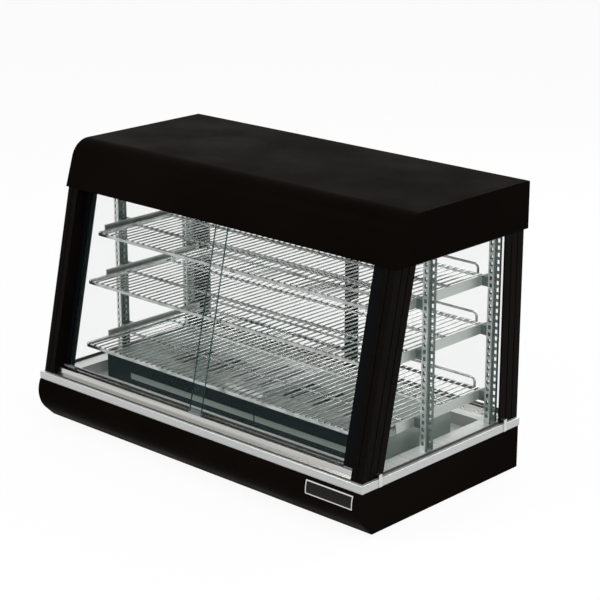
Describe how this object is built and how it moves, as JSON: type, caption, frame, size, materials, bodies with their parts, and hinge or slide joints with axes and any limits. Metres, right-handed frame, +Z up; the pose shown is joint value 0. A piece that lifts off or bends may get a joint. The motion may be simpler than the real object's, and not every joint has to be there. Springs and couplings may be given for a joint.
{
  "type": "heated display case",
  "caption": "Countertop heated display case with a leaning glass front, sliding doors front and back, wire shelves, a black canopy and a heated base.",
  "frame": {"origin": "centre of the bounding box on the surface that the feet stand on", "axes": "+Z up, +X to the customer's right when facing the leaning front, +Y to the operator's side at the back"},
  "size_m": [0.9024, 0.4966, 0.592],
  "materials": {
    "black_enamel": "satin black baked enamel on folded sheet steel",
    "black_extrusion": "black anodised aluminium extrusion, satin",
    "stainless_sheet": "fine brushed stainless steel",
    "polished_track": "bright rolled stainless steel",
    "galvanised_sheet": "galvanised steel sheet, dull",
    "bracket_steel": "bright zinc plated steel",
    "heater_steel": "dark heat-tinted steel",
    "element_sheath": "dull nickel alloy sheath",
    "chrome_wire": "bright chrome plated wire",
    "clear_glass": "clear tempered glass with green edges",
    "lamp_glass": "frosted lamp tube",
    "lamp_ceramic": "white ceramic",
    "black_plastic": "black moulded plastic, fine texture",
    "switch_red": "red glossy rocker",
    "nameplate_metal": "blank black nameplate with a bright rim",
    "rubber_feet": "black rubber"
  },
  "bodies": {
    "case": {"badge_plate": "nameplate_metal", "band_clips": "stainless_sheet", "base_bottom_plate": "galvanised_sheet", "base_end_left": "black_enamel", "base_end_right": "black_enamel", "base_front_panel": "black_enamel", "base_rear_panel": "black_enamel", "canopy_end_left": "black_enamel", "canopy_end_right": "black_enamel", "canopy_shell": "black_enamel", "cord_gland": "black_plastic", "deck_pan": "stainless_sheet", "end_glass_left": "clear_glass", "end_glass_right": "clear_glass", "feet": "rubber_feet", "front_sill_track": "polished_track", "front_top_track": "polished_track", "heater_cover": "heater_steel", "heating_elements": "element_sheath", "lamp_sockets": "lamp_ceramic", "lamp_tube": "lamp_glass", "lining_plate": "polished_track", "pilaster_front_left": "galvanised_sheet", "pilaster_front_right": "galvanised_sheet", "pilaster_rear_left": "galvanised_sheet", "pilaster_rear_right": "galvanised_sheet", "post_front_left": "black_extrusion", "post_front_right": "black_extrusion", "post_rear_left": "black_extrusion", "post_rear_right": "black_extrusion", "rear_panel_screws": "stainless_sheet", "rear_sill_track": "polished_track", "rear_top_track": "polished_track", "shelf_bottom": "chrome_wire", "shelf_bracket_bottom_left": "bracket_steel", "shelf_bracket_bottom_right": "bracket_steel", "shelf_bracket_middle_left": "bracket_steel", "shelf_bracket_middle_right": "bracket_steel", "shelf_bracket_top_left": "bracket_steel", "shelf_bracket_top_right": "bracket_steel", "shelf_middle": "chrome_wire", "shelf_stop_bottom": "chrome_wire", "shelf_stop_middle": "chrome_wire", "shelf_stop_top": "chrome_wire", "shelf_top": "chrome_wire", "switch_housings": "black_plastic", "thermostat_body": "black_plastic", "tray_lid": "bracket_steel", "water_tray": "stainless_sheet"},
    "front_door_left": {"front_door_left_glass": "clear_glass", "front_door_left_handle": "black_plastic"},
    "front_door_right": {"front_door_right_glass": "clear_glass", "front_door_right_handle": "black_plastic"},
    "rear_door_left": {"rear_door_left_glass": "clear_glass", "rear_door_left_handle": "black_plastic"},
    "rear_door_right": {"rear_door_right_glass": "clear_glass", "rear_door_right_handle": "black_plastic"},
    "thermostat_knob": {"thermostat_knob": "black_plastic"},
    "power_switch": {"power_switch": "switch_red"},
    "light_switch": {"light_switch": "switch_red"}
  },
  "joints": [
    {"name": "front_door_left_slide", "type": "slide", "parent": "case", "child": "front_door_left", "axis": [1, 0, 0], "range_m": [0, 0.38]},
    {"name": "front_door_right_slide", "type": "slide", "parent": "case", "child": "front_door_right", "axis": [1, 0, 0], "range_m": [-0.38, 0]},
    {"name": "rear_door_left_slide", "type": "slide", "parent": "case", "child": "rear_door_left", "axis": [1, 0, 0], "range_m": [0, 0.4]},
    {"name": "rear_door_right_slide", "type": "slide", "parent": "case", "child": "rear_door_right", "axis": [1, 0, 0], "range_m": [-0.4, 0]},
    {"name": "thermostat_turn", "type": "hinge", "parent": "case", "child": "thermostat_knob", "pos_m": [-0.25, 0.2295, 0.054], "axis": [0, 1, 0], "range_deg": [0, 270]},
    {"name": "power_switch_rock", "type": "hinge", "parent": "case", "child": "power_switch", "pos_m": [-0.15, 0.2295, 0.054], "axis": [1, 0, 0], "range_deg": [-24, 0]},
    {"name": "light_switch_rock", "type": "hinge", "parent": "case", "child": "light_switch", "pos_m": [-0.11, 0.2295, 0.054], "axis": [1, 0, 0], "range_deg": [-24, 0]}
  ]
}
